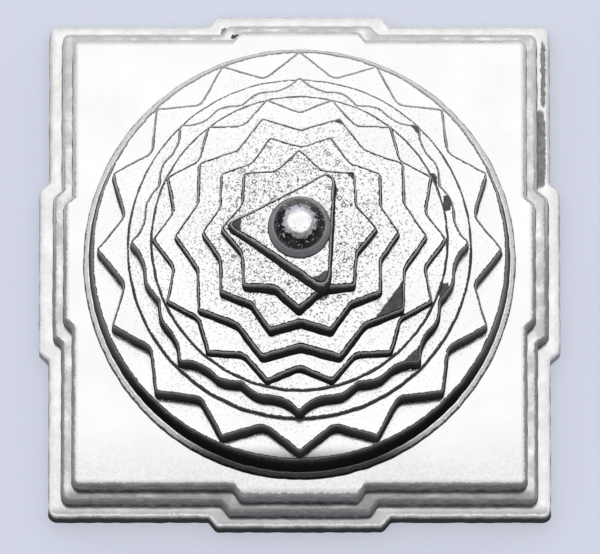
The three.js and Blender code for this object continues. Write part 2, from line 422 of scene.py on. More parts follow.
# %% Colour of the walls
SHEEN_PATCH_SIZE = 2.2 * MM
SHEEN_PATCH_RANGE = (0.3, 0.6)
LEAST_SHEEN = 0.4
SHEEN_SHOULDERS = (-1 * MM, 7 * MM)
SHEEN_LINES = (7 * MM, 17 * MM)
SHOULDER_DEPTHS = (0.18, 0.28)
UPPER_DEPTHS = (0.6, 0.4)
SHEEN_GREY = grey(0.62)
SCUFF_SIZE = 0.9 * MM
SCUFF_RANGE = (0.42, 0.68)
SCUFF_DEPTHS = (0.2, 0.4)
SCUFF_SHARE = 0.5
SCUFF_GREY = grey(0.42, 0.02)
DEEP_GREY = grey(0.008)


def back_edge_sheen(sheet, depth):
    """1 where the upper edges get a painted sheen, more and more towards the back, in patches."""
    back = sheet.along(90)
    shoulder = back.rise(*SHEEN_SHOULDERS) * depth.rise(*SHOULDER_DEPTHS)
    patchy = sheet.noise(SHEEN_PATCH_SIZE, 3.0).rise(*SHEEN_PATCH_RANGE) * (1 - LEAST_SHEEN) + LEAST_SHEEN
    line = back.rise(*SHEEN_LINES) * patchy
    return shoulder.above(line) * depth.rise(*UPPER_DEPTHS)


def oxide_wall(sheet, depth, walls, wear, scuffed, front_wall, front_depth):
    """The colour of the wall and its rounded upper edge."""
    wall = sheet.ramp(walls, depth)
    # painted sheen on the upper edges, growing towards the back
    wall = sheet.blend(back_edge_sheen(sheet, depth) * wear, wall, SHEEN_GREY)
    if scuffed:
        scuffs = sheet.noise(SCUFF_SIZE, 4.0).rise(*SCUFF_RANGE) * SCUFF_SHARE
        wall = sheet.blend(scuffs * depth.rise(*SCUFF_DEPTHS), wall, SCUFF_GREY)
    # painted shade on the walls in front
    if front_wall:
        shade = front_shade(sheet, *front_wall) * depth.rise(*front_depth)
        wall = sheet.blend(shade, wall, DEEP_GREY)
    return wall


# %% [markdown]
# Each plate has a finish of its own, made by one function from its pits, its wall's colours and its dark
# places. On the walls the metal turns into a dull oxide, which is no mirror: a metal would still shine
# there, because a wall that is seen edge on reflects strongly. The line between face and wall is a little
# ragged, as the buff left it, so the depth is shaken by a fine noise everywhere but on the face itself.

# %% Finish of the cast plates
RAGGED_SIZE = 0.22 * MM
RAGGEDNESS = 0.38
RAGGED_DEPTHS = (0.0, 0.1)
CRISP_EDGE = (0.05, 0.09)
SOFT_EDGE = (0.08, 0.13)
OXIDE_FADE = 0.1
FACE_ROUGHNESS = 0.13
MARK_ROUGHNESS = 0.3
OXIDE_ROUGHNESS = 0.3
GRAIN_SIZE = 0.3 * MM
GRAIN_HEIGHT = 0.12
RIPPLE_SIZE = 1.2 * MM
RIPPLE_HEIGHT = 0.2
BUMP = {"Strength": 0.5, "Distance": 0.03 * MM}


def cast_silver(
    name,
    pits,
    walls,
    wear=0.4,
    edge=CRISP_EDGE,
    edge_shade=None,
    stained=None,
    haze_band=None,
    front_face=None,
    front_wall=None,
    front_depth=(0.1, 0.7),
    tips=(),
    spots=(),
    flaw=0.09,
):
    """Bright faces with pits, walls in the colours of a ramp, and dark places of the grey called flaw."""
    material = bpy.data.materials.new(name)
    sheet = Sheet(material)
    depth = sheet.depth()
    shake = (sheet.noise(RAGGED_SIZE, 3.0) - 0.5) * depth.rise(*RAGGED_DEPTHS)
    ragged = shake * RAGGEDNESS + depth
    marks = pit_marks(sheet, pits)
    face = polished_face(sheet, pits, marks, stained, haze_band, edge_shade, front_face)
    wall = oxide_wall(sheet, ragged, walls, wear, stained, front_wall, front_depth)
    dull = ragged.rise(edge[1], edge[1] + OXIDE_FADE)
    if tips or spots:
        unfilled = unfilled_places(sheet, tips, spots)
        skin = sheet.noise(WANDER_SIZE, 4.0)
        rough_metal = sheet.blend(skin, grey(flaw * FLAW_SPREAD[0]), grey(flaw * FLAW_SPREAD[1]))
        face = sheet.blend(unfilled, face, rough_metal)
        dull = dull.above(unfilled)
    grain = sheet.noise(GRAIN_SIZE, 3.0) * GRAIN_HEIGHT
    ripple = sheet.noise(RIPPLE_SIZE) * RIPPLE_HEIGHT
    surface = {
        "Base Color": sheet.blend(ragged.rise(*edge), face, wall),
        "Metallic": 1 - dull,
        "Roughness": marks * MARK_ROUGHNESS + dull * OXIDE_ROUGHNESS + FACE_ROUGHNESS,
        "Normal": sheet.node("ShaderNodeBump", None, {**BUMP, "Height": grain + ripple - marks}),
        "Specular IOR Level": 0.0,
    }
    sheet.show(surface)
    return material


# %% [markdown]
# In edit mode an operator acts on what is selected, so every step first selects its vertices, edges or
# faces in code, by their place. What the plates and the dome have in common has helpers here too: the
# circle that they start from, the rounding in small steps, and the filled underside.

# %% Selecting and raising
SMOOTH_ANGLE = math.radians(35)


def choose(piece, kind, wanted):
    """Selects only the vertices, edges or faces that wanted accepts, and leaves the piece in edit mode."""
    bpy.ops.object.mode_set(mode="OBJECT")
    mesh = piece.data
    for group in (mesh.vertices, mesh.edges, mesh.polygons):
        group.foreach_set("select", [False] * len(group))
    bpy.context.tool_settings.mesh_select_mode = (kind == "VERT", kind == "EDGE", kind == "FACE")
    elements = {"VERT": mesh.vertices, "EDGE": mesh.edges, "FACE": mesh.polygons}[kind]
    for element in elements:
        element.select = wanted(element)
    bpy.ops.object.mode_set(mode="EDIT")


def start(name):
    """Names the primitive that was just added, puts its place into its mesh, and returns it."""
    piece = bpy.context.object
    piece.name = name
    piece.data.name = name
    bpy.ops.object.transform_apply(location=True, rotation=True, scale=True)
    return piece


def filled_circle(name, corners, radius, level):
    """A filled ring of corners, the first of them on +X."""
    bpy.ops.mesh.primitive_circle_add(
        vertices=corners,
        radius=radius,
        fill_type="NGON",
        location=(0, 0, level),
        rotation=(0, 0, -math.pi / 2),
    )
    return start(name)


def close_underside():
    """Fills the open rim of the piece that is being raised, and turns all its faces outwards."""
    bpy.ops.mesh.select_all(action="DESELECT")
    bpy.context.tool_settings.mesh_select_mode = (False, True, False)
    bpy.ops.mesh.select_non_manifold()
    bpy.ops.mesh.edge_face_add()
    bpy.ops.mesh.select_all(action="SELECT")
    bpy.ops.mesh.normals_make_consistent(inside=False)
    bpy.ops.object.mode_set(mode="OBJECT")
    bpy.ops.object.shade_smooth_by_angle(angle=SMOOTH_ANGLE)


def round_over(width, height, steps, last):
    """Insets and lifts the selected face along a quarter of an ellipse, up to the last of its steps."""
    for step in range(last):
        before = math.pi / 2 * step / steps
        after = math.pi / 2 * (step + 1) / steps
        inwards = width * (math.cos(before) - math.cos(after))
        upwards = height * (math.sin(after) - math.sin(before))
        bpy.ops.mesh.inset(thickness=inwards, depth=upwards)


# %% [markdown]
# Every plate is cast the same way up: from the outline of its foot the face is inset and lifted in one
# stroke, which leaves the sloping wall, then inset and lifted again in small steps, which rounds the
# upper edge. A last flat inset leaves room for the dark line round the face. Inset keeps the same
# distance all the way round, so it works on stars, petals and gated squares alike, where scaling
# wouldn't. Before that, long edges are divided, so that they can waver later.

# %% Casting a plate up from the outline of its foot
EDGE_ROUND = 0.15 * MM
EDGE_STEPS = 4
LINE_WIDTH = 0.15 * MM
LONGEST_EDGE = 0.5 * MM


def refine(piece, longest):
    """Halves the edges that are longer than that, until none is left."""
    corners = piece.data.vertices

    def length(edge):
        return (corners[edge.vertices[0]].co - corners[edge.vertices[1]].co).length

    rounds = math.ceil(math.log2(max(length(edge) for edge in piece.data.edges) / longest))
    for _ in range(rounds):
        choose(piece, "EDGE", lambda edge: length(edge) > longest)
        bpy.ops.mesh.subdivide(number_cuts=1)
        bpy.ops.object.mode_set(mode="OBJECT")


def write_depth(piece, top, edge):
    """Gives every vertex its depth, from its height and from whether it lies on the rim of the face."""
    mesh = piece.data
    face = max(mesh.polygons, key=lambda polygon: (polygon.center.z > top - TINY) * len(polygon.vertices))
    rim = set(face.vertices)
    depths = []
    for vertex in mesh.vertices:
        below = top - vertex.co.z
        if vertex.index in rim:
            depths.append(FACE_DEPTH)
        elif below < edge + TINY:
            outwards = math.sqrt(max(1 - (1 - below / edge) ** 2, 0))
            depths.append(LINE_DEPTH + (WALL_DEPTH - LINE_DEPTH) * outwards)
        else:
            depths.append(FOOT_DEPTH)
    attribute = mesh.attributes.new("depth", "FLOAT", "POINT")
    attribute.data.foreach_set("value", depths)


def cast_up(piece, top, run, edge=EDGE_ROUND, line=LINE_WIDTH):
    """Raises a wall that leans in by run and a rounded edge, and closes the plate."""
    foot = min(vertex.co.z for vertex in piece.data.vertices)
    refine(piece, LONGEST_EDGE)
    choose(piece, "FACE", lambda face: True)
    bpy.ops.mesh.inset(thickness=run, depth=top - foot - edge)
    round_over(edge, edge, EDGE_STEPS, EDGE_STEPS)
    bpy.ops.mesh.inset(thickness=line, depth=0)
    close_underside()
    write_depth(piece, top, edge)


# %% [markdown]
# The casting isn't quite true. No edge is straight, so every corner wavers a little, along a noise that
# is seeded, so that each run gives the same plates. The fronts sag towards -Y, and a few upper plates sit
# a little off the axis or are a little narrow. Last, the solid that the piece replaces is hidden, and the
# piece takes its finish.

# %% Small irregularities and the finished plate
WAVER_SIZE = 0.9 * MM
WAVER = 0.07 * MM
WAVER_SEED = 7

# without a seed this noise starts somewhere else in every run
noise.seed_set(WAVER_SEED)


def waver(piece):
    """Moves every corner a little sideways along a smooth noise."""
    for corner in piece.data.vertices:
        offset = noise.noise_vector(corner.co / WAVER_SIZE) * WAVER
        corner.co.x += offset.x
        corner.co.y += offset.y


def sag(piece, face, foot):
    """Pulls the front of a plate towards -Y, its face by one distance and its foot by the other."""
    heights = [corner.co.z for corner in piece.data.vertices]
    low, high = min(heights), max(heights)
    for corner in piece.data.vertices:
        front = max(-corner.co.y / max(corner.co.xy.length, 1 * MM), 0) ** 2
        share = (high - corner.co.z) / (high - low)
        corner.co.y -= front * (face + (foot - face) * share)


def settle(piece, shift, width=1.0):
    """Narrows a piece along X to a share of its width, and moves it sideways by its shift."""
    choose(piece, "VERT", lambda corner: True)
    bpy.ops.transform.resize(value=(width, 1, 1), center_override=(0, 0, 0))
    bpy.ops.transform.translate(value=(shift[0], shift[1], 0))
    bpy.ops.object.mode_set(mode="OBJECT")


def dress(piece, node, material):
    """The piece stands for its solid, rides on the one body and takes its finish."""
    piece.data.materials.clear()
    piece.data.materials.append(material)
    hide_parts(node)
    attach(piece, "root")
    solid_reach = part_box(node)[1].x
    reach = max(vertex.co.x for vertex in piece.data.vertices)
    print(piece.name, "reaches", round(reach / MM, 2), "mm, its solid", round(solid_reach / MM, 2), "mm")


# %% [markdown]
# The base is the bhupura, three stepped squares with a gate in the middle of each side. A plane is cut
# along four lines, the middle edge of each side is pulled out and narrowed into a gate, and the cuts are
# dissolved again. That leaves one outline with its twenty corners, which are then rounded.

# %% Outline of a square with gates
BASE_RUN = 0.1 * MM
BASE_EDGE = 0.26 * MM
BASE_LINE = 0.2 * MM
SQUARE_CORNER = 0.5 * MM
GATE_CORNER = 0.3 * MM
CORNER_STEPS = 5
SIDES = [Vector((1, 0, 0)), Vector((0, 1, 0)), Vector((-1, 0, 0)), Vector((0, -1, 0))]


def pull_gate(piece, outwards, half, gate, reach):
    """Pulls the middle edge of one side out by reach, and narrows it to twice gate."""
    gate_foot = gate + GATE_SLOPE
    corners = piece.data.vertices

    def is_gate(edge):
        ends = [corners[index].co for index in edge.vertices]
        on_side = all(end.dot(outwards) > half - TINY for end in ends)
        return on_side and all((end - outwards * half).xy.length < gate_foot + TINY for end in ends)

    choose(piece, "EDGE", is_gate)
    bpy.ops.mesh.extrude_region_move(TRANSFORM_OT_translate={"value": outwards * reach})
    narrow = gate / gate_foot
    along_side = (1, narrow, 1) if outwards.x else (narrow, 1, 1)
    bpy.ops.transform.resize(value=along_side, center_override=outwards * half)


def round_off(piece, wanted, setback):
    """Rounds the corners of the outline that wanted accepts, starting that far from each."""
    choose(piece, "VERT", wanted)
    bpy.ops.mesh.bevel(offset=setback, segments=CORNER_STEPS, affect="VERTICES")


def gated_square(name, half, gate, reach, level):
    """The outline of the foot. Gate is half the width of a gate, and reach how far it stands out."""
    gate_foot = gate + GATE_SLOPE
    bpy.ops.mesh.primitive_plane_add(size=2 * half, location=(0, 0, level))
    piece = start(name)
    bpy.ops.object.mode_set(mode="EDIT")
    for place in (-gate_foot, gate_foot):
        for across in ((1, 0, 0), (0, 1, 0)):
            bpy.ops.mesh.select_all(action="SELECT")
            bpy.ops.mesh.bisect(plane_co=[place * part for part in across], plane_no=across)
    for outwards in SIDES:
        pull_gate(piece, outwards, half, gate, reach)
    bpy.ops.mesh.select_all(action="SELECT")
    bpy.ops.mesh.dissolve_limited(angle_limit=math.radians(1))

    def spread(corner):
        return sorted((abs(corner.co.x), abs(corner.co.y)))

    bend = math.tan(math.atan2(reach, GATE_SLOPE) / 2)
    outset = BASE_RUN + BASE_EDGE
    round_off(piece, lambda corner: spread(corner)[0] > half - TINY, SQUARE_CORNER + outset)
    round_off(piece, lambda corner: spread(corner)[1] > half + reach - TINY, (GATE_CORNER + outset) * bend)
    round_off(piece, lambda corner: abs(spread(corner)[0] - gate_foot) < TINY, GATE_CORNER * bend)
    bpy.ops.object.mode_set(mode="OBJECT")
    return piece


# %% [markdown]
# The three plates differ in the width of their gates and in their finish. The lower one is pale all over,
# the middle one is stained, and the upper one is the bright square that carries the ring. On the real
# casting some gates in front and on the right stand out further, and dark spots lie on the two lower
# ledges.

# %% The three plates of the base
BASE_BACK_SHEEN = 0.8
LEDGE_SPOTS = [
    ((24.4 * MM, 12.6 * MM), (0.6 * MM, 3.9 * MM)),
    ((24.75 * MM, 20.4 * MM), (0.25 * MM, 3.4 * MM)),
    ((-7.7 * MM, 24.8 * MM), (0.25 * MM, 0.35 * MM)),
    ((-9.0 * MM, 26.0 * MM), (0.4 * MM, 0.3 * MM)),
]
GATE_SPOTS = [((-6.4 * MM, 23.8 * MM), (0.5 * MM, 0.2 * MM))]


def lengthen_gates(piece, half, reach, longer):
    """Pulls the gates at -Y and +X out by that much more."""
    for corner in piece.data.vertices:
        corner.co.y -= longer[0] * min(max((-corner.co.y - half) / reach, 0), 1)
        corner.co.x += longer[1] * min(max((corner.co.x - half) / reach, 0), 1)


def base_plate(tier, gate, reach, shade, longer=(0, 0), **finish):
    """One stepped square. Shade is how far in from its edges, and how much, its face darkens."""
    low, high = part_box(tier + "_plate")
    half = high.x - reach - WAVER
    plate = gated_square(tier + "_cast", half, gate, reach, low.z)
    cast_up(plate, high.z, BASE_RUN, BASE_EDGE, BASE_LINE)
    lengthen_gates(plate, half, reach, longer)
    waver(plate)
    face_outline = (half - BASE_RUN - BASE_EDGE, gate, reach)
    finish |= {"pits": 0.0, "wear": BASE_BACK_SHEEN, "edge": SOFT_EDGE, "edge_shade": (face_outline, *shade)}
    dress(plate, tier + "_plate", cast_silver(tier + "_silver", **finish))
    return plate


lower_plate = base_plate(
    "bhupura_lower",
    gate=8.42 * MM,
    reach=1.0 * MM,
    shade=(0.4 * MM, 0.2),
    walls=LOWER_STEP_WALL,
    stained=(0.3, 0.38, 0.02),
    spots=LEDGE_SPOTS,
    flaw=0.3,
    front_face=(24.0 * MM, 24.9 * MM, 0.42),
    front_wall=(24.0 * MM, 24.9 * MM, 0.85),
)
base_plate(
    "bhupura_middle",
    gate=7.18 * MM,
    reach=0.88 * MM,
    shade=(0.4 * MM, 0.3),
    longer=(0.3 * MM, 0.25 * MM),
    walls=STEP_WALL,
    stained=(0.8, 0.40, 0.04),
    spots=GATE_SPOTS,
    front_face=(22.7 * MM, 23.5 * MM, 0.5),
)
base_plate(
    "bhupura_upper",
    gate=5.98 * MM,
    reach=0.88 * MM,
    shade=(0.45 * MM, 0.45),
    longer=(0.35 * MM, 0),
    walls=STEP_WALL,
    stained=(0.04, 0.38, 0.02),
    haze_band=(16 * MM, 23 * MM),
)

# %% [markdown]
# The underside shows the head of the screw in its countersink. A cone takes the hollow out of the lowest
# plate. It starts a little below the plate, so that the two don't share a face.

# %% Countersink under the base
SCREW_CLEARANCE = 0.3 * MM
SCREW_SHANK = 1.4 * MM
COUNTERSINK_DEPTH = 1.4 * MM
CUTTER_START = 0.2 * MM
CUTTER_CORNERS = 64


def countersink(plate, screw_node):
    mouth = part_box(screw_node)[1].x + SCREW_CLEARANCE
    throat = SCREW_SHANK + SCREW_CLEARANCE
    slope = (mouth - throat) / COUNTERSINK_DEPTH
    bpy.ops.mesh.primitive_cone_add(
        vertices=CUTTER_CORNERS,
        radius1=mouth + slope * CUTTER_START,
        radius2=throat,
        depth=COUNTERSINK_DEPTH + CUTTER_START,
        location=(0, 0, (COUNTERSINK_DEPTH - CUTTER_START) / 2),
    )
    cutter = start("countersink_cutter")
    bpy.context.view_layer.objects.active = plate
    cut = plate.modifiers.new("countersink", "BOOLEAN")
    cut.operation = "DIFFERENCE"
    cut.object = cutter
    cut.solver = "EXACT"
    bpy.ops.object.modifier_apply(modifier=cut.name)
    bpy.data.objects.remove(cutter)
    print("countersink of", round(mouth / MM, 2), "mm radius")


countersink(lower_plate, "tie_screw")

# %% [markdown]
# Round plates start from a fine circle. The ring under the lotus is low, with a full round edge, and lies
# in deep shade in front. The disc of the sixteen petals has a high dark wall, and the two thin discs show
# only as fine lines around their faces.

# %% Round plates
CIRCLE_CORNERS = 288
WHOLE_DEPTH = (-1.0, 0.0)


def round_plate(node, radius, run, edge, sagging, **finish):
    """A disc whose flat face has that radius. Sagging is that of its face and that of its foot."""
    low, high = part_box(node)
    plate = filled_circle(node + "_cast", CIRCLE_CORNERS, radius + run + edge, low.z)
    cast_up(plate, high.z, run, edge)
    waver(plate)
    sag(plate, *sagging)
    dress(plate, node, cast_silver(node + "_silver", **finish))


round_plate(
    "ring_plate",
    radius=21.4 * MM,
    run=0.01 * MM,
    edge=0.44 * MM,
    sagging=(0.5 * MM, 0.5 * MM),
    pits=0.0,
    walls=RING_WALL,
    front_face=(16.5 * MM, 20.5 * MM, 0.94),
    front_wall=(16.5 * MM, 20.5 * MM, 0.94),
    front_depth=WHOLE_DEPTH,
)
round_plate(
    "sixteen_petal_disc",
    radius=20.8 * MM,
    run=0.35 * MM,
    edge=EDGE_ROUND,
    sagging=(0.1 * MM, 0.45 * MM),
    pits=0.04,
    walls=SOFT_WALL,
    front_face=(19.3 * MM, 21.2 * MM, 0.8),
    front_wall=(6 * MM, 15 * MM, 0.97),
)
THIN_DISC = {"run": 0.1 * MM, "edge": 0.08 * MM, "walls": THIN_WALL, "wear": 0.25}
round_plate("outer_circle_disc", 17.2 * MM, sagging=(0.15 * MM, 0.05 * MM), pits=0.1, **THIN_DISC)
round_plate("inner_circle_disc", 14.8 * MM, sagging=(0.3 * MM, 0.3 * MM), pits=0.15, **THIN_DISC)

# %% [markdown]
# The sixteen petals and the rings of triangles are stars. A circle gets twice as many corners as the star
# has tips, every other corner is pulled out to the tips, and a vertex bevel rounds tips and valleys. All
# edges of a star lie at the same distance from its middle, so it grows by an even width when it is
# scaled.

# %% Shape of a star
PLATE_RUN = 0.12 * MM
PLATE_OUTSET = PLATE_RUN + EDGE_ROUND
TIP_ROUND = 0.2 * MM
VALLEY_ROUND = 1.2 * MM


def star_plate(node, count, tip, valley, sagging, shift=(0, 0), width=1.0, **finish):
    """A star with its first tip on +X. Tip and valley are the radii of its flat face."""
    low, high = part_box(node)
    turn = math.pi / count
    side = Vector((valley * math.cos(turn) - tip, valley * math.sin(turn)))
    edge_distance = tip * valley * math.sin(turn) / side.length
    grow = (edge_distance + PLATE_OUTSET) / edge_distance
    foot_valley = valley * grow
    half_tip = math.atan2(side.y, -side.x)
    plate = filled_circle(node + "_cast", 2 * count, foot_valley, low.z)
    choose(plate, "VERT", lambda corner: corner.index % 2 == 0)
    bpy.ops.transform.resize(value=(tip / valley, tip / valley, 1), center_override=(0, 0, low.z))
    tip_setback = (TIP_ROUND + PLATE_OUTSET) / math.tan(half_tip)
    bpy.ops.mesh.bevel(offset=tip_setback, segments=CORNER_STEPS, affect="VERTICES")
    valley_bend = math.pi / 2 - half_tip - turn
    if valley_bend > 0:
        valley_setback = (VALLEY_ROUND - PLATE_OUTSET) * math.tan(valley_bend)
        round_off(plate, lambda corner: abs(corner.co.xy.length - foot_valley) < 10 * TINY, valley_setback)
    bpy.ops.object.mode_set(mode="OBJECT")
    cast_up(plate, high.z, PLATE_RUN)
    waver(plate)
    sag(plate, *sagging)
    settle(plate, shift, width)
    dress(plate, node, cast_silver(node + "_silver", **finish))


# %% [markdown]
# From the sixteen petals up to the eight points the stars grow smaller and more pitted. Two of them have
# tips that the metal didn't fill.

# %% The stars
STAR_WALL = {"walls": DARK_WALL, "front_wall": (2 * MM, 9 * MM, 0.6)}

star_plate(
    "sixteen_petal_plate",
    count=16,
    tip=20.25 * MM,
    valley=17.8 * MM,
    sagging=(0.3 * MM, 0.45 * MM),
    pits=0.08,
    walls=SOFT_WALL,
    front_wall=(4 * MM, 14 * MM, 0.7),
)
star_plate(
    "fourteen_point_plate",
    count=14,
    tip=14.55 * MM,
    valley=12.8 * MM,
    sagging=(0.05 * MM, 0.3 * MM),
    pits=0.12,
    **STAR_WALL,
)
star_plate(
    "outer_ten_point_plate",
    count=10,
    tip=12.5 * MM,
    valley=10.75 * MM,
    sagging=(0.2 * MM, 0.65 * MM),
    shift=(0.15 * MM, 0),
    pits=0.32,
    tips=[(-36, 11.0 * MM), (72, 12.1 * MM)],
    **STAR_WALL,
)
star_plate(
    "inner_ten_point_plate",
    count=10,
    tip=10.05 * MM,
    valley=8.6 * MM,
    sagging=(0.2 * MM, 0.6 * MM),
    shift=(0.12 * MM, 0),
    width=0.967,
    pits=0.7,
    **STAR_WALL,
)
star_plate(
    "eight_point_plate",
    count=8,
    tip=7.9 * MM,
    valley=6.25 * MM,
    sagging=(0.0, 0.45 * MM),
    shift=(-0.04 * MM, 0),
    width=0.97,
    pits=1.0,
    tips=[(45, 7.2 * MM), (-45, 7.5 * MM)],
    **STAR_WALL,
)

# %% [markdown]
# The eight lotus petals have ogee tips: a sharp tip, a hollow flank and a full shoulder. A fine circle is
# drawn out to them corner by corner, along a smooth curve through the radii at tip, neck, hollow,
# shoulder and valley. The tips are bevelled just wide enough for the later insets to fit inside them.

# %% Eight petals
PETAL_COUNT = 8
PETAL_FLANK = [
    (0.0, 16.9 * MM),
    (0.155, 16.05 * MM),
    (0.4, 15.65 * MM),
    (0.68, 15.8 * MM),
    (1.0, 15.15 * MM),
]
PETAL_CORNERS = 32
PETAL_TIP_SETBACK = 0.5 * MM
PETAL_SAG = (0.2 * MM, 0.45 * MM)
SLOPE_STEP = 0.01


def flank_radius(share):
    """Catmull-Rom curve through the radii of the flank, from the tip at 0 to the valley at 1."""
    ends = PETAL_FLANK
    index = max(i for i in range(len(ends) - 1) if ends[i][0] <= share)
    before = ends[max(index - 1, 0)]
    after = ends[min(index + 2, len(ends) - 1)]
    left, right = ends[index], ends[index + 1]
    width = right[0] - left[0]
    t = (share - left[0]) / width
    slope_left = (right[1] - before[1]) / (right[0] - before[0]) * width
    slope_right = (after[1] - left[1]) / (after[0] - left[0]) * width
    return (
        left[1] * (2 * t**3 - 3 * t**2 + 1)
        + slope_left * (t**3 - 2 * t**2 + t)
        + right[1] * (3 * t**2 - 2 * t**3)
        + slope_right * (t**3 - t**2)
    )


def petal_radius(share, half_angle, outset):
    """The radius of the outline that runs outside the flank by outset, measured square to it."""
    start_share, end_share = max(share - SLOPE_STEP, 0), min(share + SLOPE_STEP, 1)
    radius = flank_radius(share)
    fall = flank_radius(end_share) - flank_radius(start_share)
    slope = fall / ((end_share - start_share) * half_angle * radius)
    return radius + outset * math.hypot(1, slope)


def petal_plate(node, **finish):
    low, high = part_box(node)
    plate = filled_circle(node + "_cast", PETAL_CORNERS * PETAL_COUNT, 1, low.z)
    for corner in plate.data.vertices:
        angle = math.atan2(corner.co.y, corner.co.x)
        share = 2 * abs((angle * PETAL_COUNT / (2 * math.pi) + 0.5) % 1 - 0.5)
        radius = petal_radius(share, math.pi / PETAL_COUNT, PLATE_OUTSET)
        corner.co.x = radius * math.cos(angle)
        corner.co.y = radius * math.sin(angle)
    tip = PETAL_FLANK[0][1] + PLATE_OUTSET
    round_off(plate, lambda corner: corner.co.xy.length > tip, PETAL_TIP_SETBACK)
    bpy.ops.object.mode_set(mode="OBJECT")
    cast_up(plate, high.z, PLATE_RUN)
    waver(plate)
    sag(plate, *PETAL_SAG)
    dress(plate, node, cast_silver(node + "_silver", **finish))


petal_plate(
    "eight_petal_plate",
    pits=0.15,
    walls=SOFT_WALL,
    front_wall=(1 * MM, 10 * MM, 0.75),
    tips=[(45, 16.25 * MM), (-45, 15.9 * MM)],
    spots=[
        ((13.4 * MM, 6.4 * MM), (0.4 * MM, 0.7 * MM)),
        ((14.8 * MM, 4.0 * MM), (0.4 * MM, 0.8 * MM)),
        ((14.5 * MM, -4.9 * MM), (0.5 * MM, 0.8 * MM)),
    ],
)

# %% [markdown]
# The triangle on top is a star without valleys: a circle of three corners, mirrored so that one of them
# points along -X. On the real casting its two tips on the right are blunt, its right half is a little
# short, and it sits askew by three degrees. So two tips get a wider bevel, and the finished plate is
# squeezed and turned.

# %% Triangle
TRIANGLE_TIP = 7.0 * MM
TRIANGLE_RUN = 0.3 * MM
TRIANGLE_ROUND = 0.35 * MM
BLUNT_ROUND = 0.95 * MM
TRIANGLE_STEPS = 8
HALF_TIP = math.radians(30)
TRIANGLE_SQUEEZE = 0.42 * MM
TRIANGLE_TURN = math.radians(-3)
TRIANGLE_SAG = (0.0, 0.4 * MM)
TOP_SHIFT = (0, -0.25 * MM)


def triangle_outline(name, level):
    """The outline of the foot, with three rounded corners."""
    outset = TRIANGLE_RUN + EDGE_ROUND
    inner = TRIANGLE_TIP / 2
    plate = filled_circle(name, 3, TRIANGLE_TIP * (inner + outset) / inner, level)
    choose(plate, "VERT", lambda corner: True)
    bpy.ops.transform.resize(value=(-1, 1, 1), center_override=(0, 0, level))
    bend = math.tan(HALF_TIP)
    choose(plate, "VERT", lambda corner: corner.co.x < 0)
    sharp_setback = (TRIANGLE_ROUND + outset) / bend
    bpy.ops.mesh.bevel(offset=sharp_setback, segments=TRIANGLE_STEPS, affect="VERTICES")
    choose(plate, "VERT", lambda corner: corner.co.x > 0 and abs(corner.co.y) > inner)
    blunt_setback = (BLUNT_ROUND + outset) / bend
    bpy.ops.mesh.bevel(offset=blunt_setback, segments=TRIANGLE_STEPS, affect="VERTICES")
    bpy.ops.mesh.select_all(action="SELECT")
    bpy.ops.mesh.normals_make_consistent(inside=False)
    bpy.ops.object.mode_set(mode="OBJECT")
    if plate.data.polygons[0].normal.z < 0:
        plate.data.flip_normals()
    return plate


def triangle_plate(node, **finish):
    low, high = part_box(node)
    plate = triangle_outline(node + "_cast", low.z)
    cast_up(plate, high.z, TRIANGLE_RUN)
    choose(plate, "VERT", lambda corner: corner.co.x > 0)
    squeezed = 1 - TRIANGLE_SQUEEZE / (TRIANGLE_TIP / 2)
    bpy.ops.transform.resize(value=(squeezed, 1, 1), center_override=(0, 0, 0))
    bpy.ops.mesh.select_all(action="SELECT")
    # with no window this operator turns the other way
    bpy.ops.transform.rotate(value=-TRIANGLE_TURN, orient_axis="Z", center_override=(0, 0, 0))
    bpy.ops.object.mode_set(mode="OBJECT")
    waver(plate)
    sag(plate, *TRIANGLE_SAG)
    settle(plate, TOP_SHIFT)
    dress(plate, node, cast_silver(node + "_silver", **finish))


TRIANGLE_TIPS = [(178, 5.75 * MM), (57, 5.6 * MM), (-63, 5.3 * MM)]
triangle_plate("triangle_plate", pits=0.8, walls=DARK_WALL, tips=TRIANGLE_TIPS)

# %% [markdown]
# Above the triangle the metal is smooth, with soft clouds and small dents. The collar has a dark line
# round its foot and a painted highlight round its top. The dome of the bindu is a mirror only at its top.
# Lower down it gets a painted dark reflection, ragged at its upper rim, smoky, paler on the far side and
# with painted glints. That is no metal, so it stays dark, whatever stands around it.

# %% Finish of the smooth metal
DENT_SIZE = 0.3 * MM
DENT_RANGE = (0.55, 0.75)
DENT_SHADE = 0.5
SOFT_CLOUD_SIZE = 1.2 * MM
CLOUD_SHADE = 0.8
CLOUD_HEIGHT = 0.6
CLOUD_ROUGHNESS = 0.08
GLOSS = 0.5
DARK_REFLECTION_GLOSS = 0.15
SMOOTH_BUMP = {"Strength": 0.6, "Distance": 0.05 * MM}
FOOT_LINE = (0.8, 0.97)
TOP_HIGHLIGHT_DEPTHS = (0.52, 0.45)
TOP_HIGHLIGHT_GAIN = 1.6
DARK_REFLECTION_SIZE = 0.35 * MM
DARK_REFLECTION_SPREAD = 0.8 * MM
GLINT_RANGE = (0.64, 0.72)
SMOKE_RANGE = (0.4, 0.7)
FAR_SIDE = (0.3 * MM, 2.2 * MM)
FAR_SMOKE = 0.5
FAR_LEAST = 0.4
REFLECTION_BLACK = grey(0.004)
SMOKE_GREY = grey(0.04, 0.02)
FAR_REFLECTION_GREY = grey(0.16, 0.04)
GLINT_GREY = grey(0.5)
FOOT_GREY = grey(0.02)


def outline_collar(sheet, colour, level):
    """Adds the dark line round the foot and a painted highlight round the top."""
    depth = sheet.depth()
    colour = sheet.blend(depth.rise(*FOOT_LINE), colour, FOOT_GREY)
    return sheet.blend(depth.rise(*TOP_HIGHLIGHT_DEPTHS), colour, grey(level * TOP_HIGHLIGHT_GAIN))


